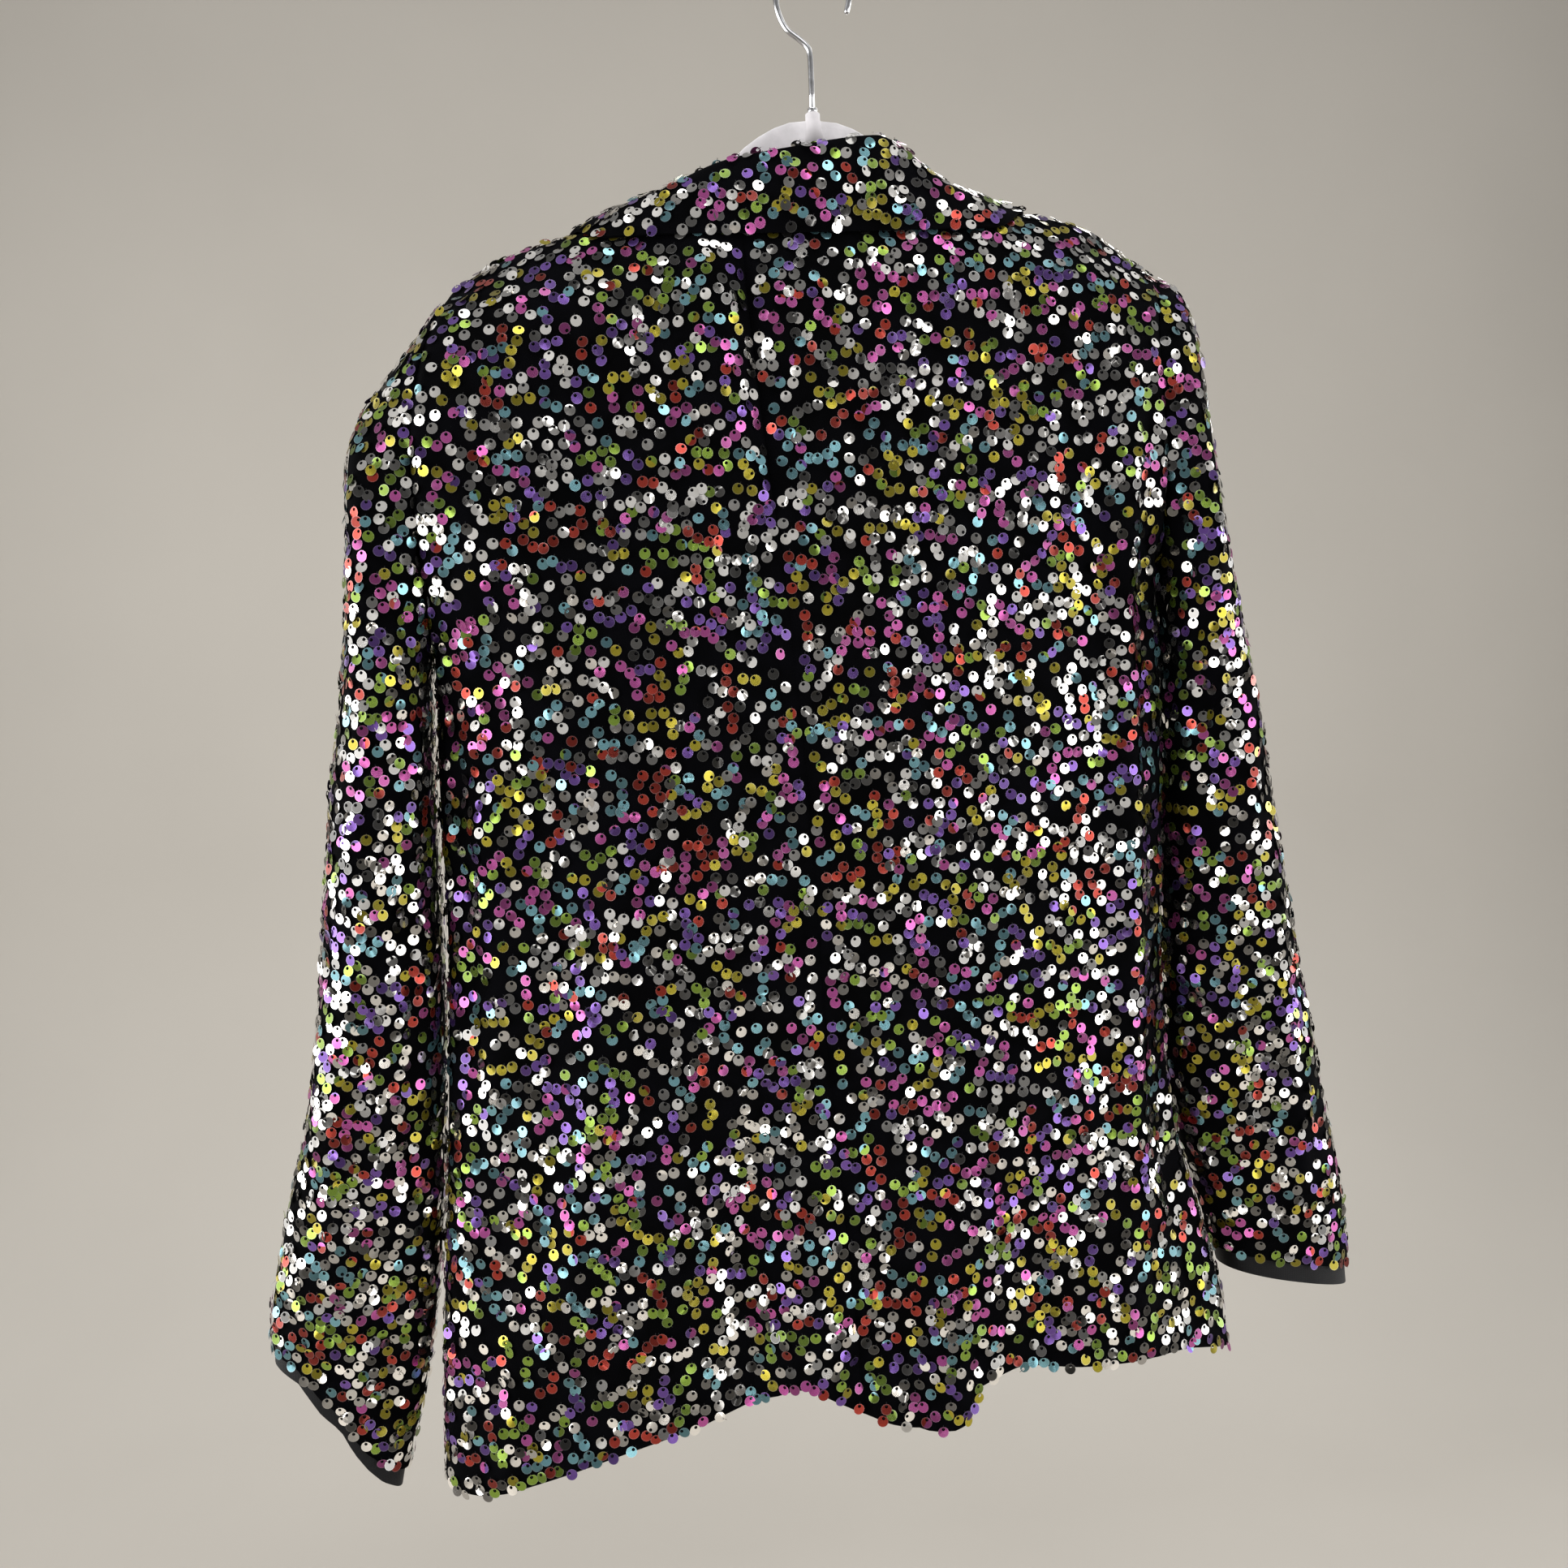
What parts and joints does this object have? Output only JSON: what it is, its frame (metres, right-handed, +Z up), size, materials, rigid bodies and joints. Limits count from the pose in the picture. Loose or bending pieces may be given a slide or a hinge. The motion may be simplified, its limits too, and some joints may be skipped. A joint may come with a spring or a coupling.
{
  "type": "sequin blazer on a hanger",
  "caption": "Hip-length blazer covered in round sequins, with turned-down collar, lapels and long two-piece sleeves, hanging on a flat flocked hanger with a wire hook.",
  "frame": {"origin": "inner top of the hanger's hook, where a rail carries it", "axes": "+Z up, +Y towards the garment's front, +X towards the wearer's right"},
  "size_m": [0.7153, 0.1253, 0.9434],
  "materials": {
    "sequin_cloth": "matte black ground with glossy sequins",
    "band_cloth": "plain black satin",
    "button": "gloss",
    "flock": "flocked, matte",
    "wire": "polished"
  },
  "bodies": {
    "root": {"back_left": "sequin_cloth", "back_right": "sequin_cloth", "front_left": "sequin_cloth", "front_right": "sequin_cloth", "lapel_left": "sequin_cloth", "lapel_right": "sequin_cloth", "collar": "sequin_cloth", "sleeve_top_left": "sequin_cloth", "sleeve_under_left": "sequin_cloth", "sleeve_top_right": "sequin_cloth", "sleeve_under_right": "sequin_cloth", "cuff_band_left": "band_cloth", "cuff_band_right": "band_cloth", "button": "button", "hanger_body": "flock", "hanger_hook": "wire"}
  },
  "joints": []
}
